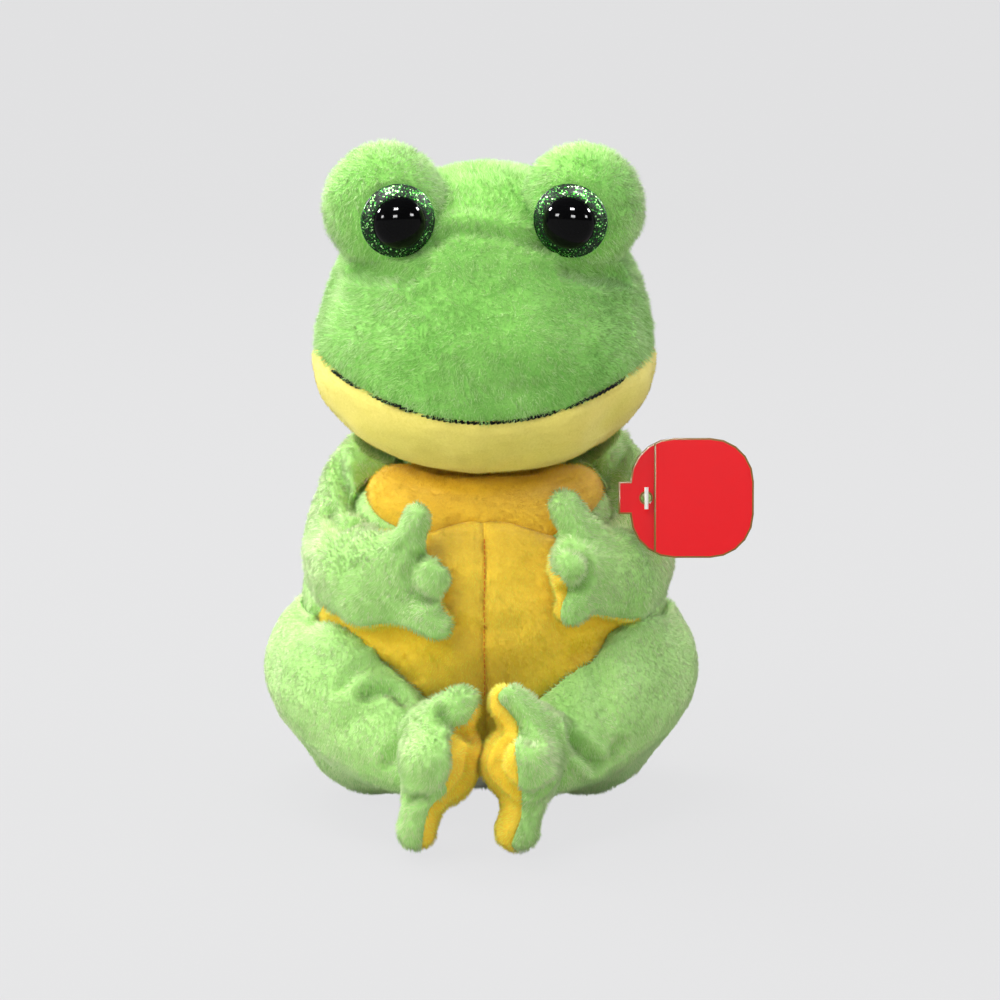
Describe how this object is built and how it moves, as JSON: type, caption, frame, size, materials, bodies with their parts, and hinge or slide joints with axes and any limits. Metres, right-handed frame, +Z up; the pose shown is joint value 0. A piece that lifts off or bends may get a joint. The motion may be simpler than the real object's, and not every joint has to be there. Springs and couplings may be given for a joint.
{
  "type": "plush frog",
  "caption": "Sitting plush frog with a round belly, domed safety eyes, wide stitched mouth and bare card tag; head turns and nods, limbs spread.",
  "frame": {"origin": "centre of the torso's flat seat, on the surface that the toy sits on", "axes": "+Z up, -Y out of the face, +X to the toy's own left, which is the picture's right"},
  "size_m": [0.1379, 0.1164, 0.1888],
  "materials": {
    "crown_plush": "long pile plush",
    "limb_plush": "short pile plush",
    "belly_plush": "short pile plush",
    "chest_plush": "short pile plush",
    "jaw_plush": "short smooth nap",
    "filling": "loose polyester filling",
    "pellets": "cloth bag of pellets",
    "thread": "stitched thread",
    "glitter_iris": "glitter under clear plastic",
    "pupil": "polished",
    "washer_plastic": "moulded",
    "tag_card": "gloss printed card, bare"
  },
  "bodies": {
    "torso": {"torso_back_skin": "limb_plush", "chest_skin": "chest_plush", "belly_skin_left": "belly_plush", "belly_skin_right": "belly_plush", "torso_stuffing": "filling", "pellet_bag": "pellets"},
    "neck": {"neck_stuffing": "filling"},
    "head": {"head_crown_skin": "crown_plush", "head_jaw_skin": "jaw_plush", "head_stuffing": "filling", "mouth_stitching": "thread", "eye_bulge_left": "crown_plush", "eye_iris_left": "glitter_iris", "eye_pupil_left": "pupil", "eye_washer_left": "washer_plastic", "eye_filling_left": "filling", "eye_bulge_right": "crown_plush", "eye_iris_right": "glitter_iris", "eye_pupil_right": "pupil", "eye_washer_right": "washer_plastic", "eye_filling_right": "filling"},
    "arm_left": {"arm_skin_left": "limb_plush", "palm_skin_left": "belly_plush", "arm_stuffing_left": "filling"},
    "arm_right": {"arm_skin_right": "limb_plush", "palm_skin_right": "belly_plush", "arm_stuffing_right": "filling", "tag_fastener": "washer_plastic"},
    "leg_left": {"leg_skin_left": "limb_plush", "foot_skin_left": "limb_plush", "sole_skin_left": "belly_plush", "leg_stuffing_left": "filling"},
    "leg_right": {"leg_skin_right": "limb_plush", "foot_skin_right": "limb_plush", "sole_skin_right": "belly_plush", "leg_stuffing_right": "filling"},
    "tag": {"tag_back_leaf": "tag_card"},
    "tag_front": {"tag_front_leaf": "tag_card"}
  },
  "joints": [
    {"name": "neck_turn", "type": "hinge", "parent": "torso", "child": "neck", "pos_m": [0, 0.002, 0.096], "axis": [0, 0, 1], "range_deg": [-15, 15]},
    {"name": "neck_nod", "type": "hinge", "parent": "neck", "child": "head", "pos_m": [0, 0.002, 0.096], "axis": [1, 0, 0], "range_deg": [-9, 2]},
    {"name": "shoulder_left", "type": "hinge", "parent": "torso", "child": "arm_left", "pos_m": [-0.032, 0.018, 0.085], "axis": [-0.4, 0, -0.9165], "range_deg": [0, 60]},
    {"name": "shoulder_right", "type": "hinge", "parent": "torso", "child": "arm_right", "pos_m": [0.032, 0.018, 0.085], "axis": [-0.4, 0, 0.9165], "range_deg": [0, 60]},
    {"name": "hip_left", "type": "hinge", "parent": "torso", "child": "leg_left", "pos_m": [-0.024, 0.031, 0.03], "axis": [0, 0, -1], "range_deg": [0, 35]},
    {"name": "hip_right", "type": "hinge", "parent": "torso", "child": "leg_right", "pos_m": [0.024, 0.031, 0.03], "axis": [0, 0, 1], "range_deg": [0, 35]},
    {"name": "tag_swing", "type": "hinge", "parent": "arm_right", "child": "tag", "pos_m": [0.0445, -0.0325, 0.0925], "axis": [0, -0.9877, -0.1564], "range_deg": [0, 35]},
    {"name": "tag_open", "type": "hinge", "parent": "tag", "child": "tag_front", "pos_m": [0.0467, -0.0325, 0.0925], "axis": [0, 0.1564, 0.9877], "range_deg": [-85, 0]}
  ]
}
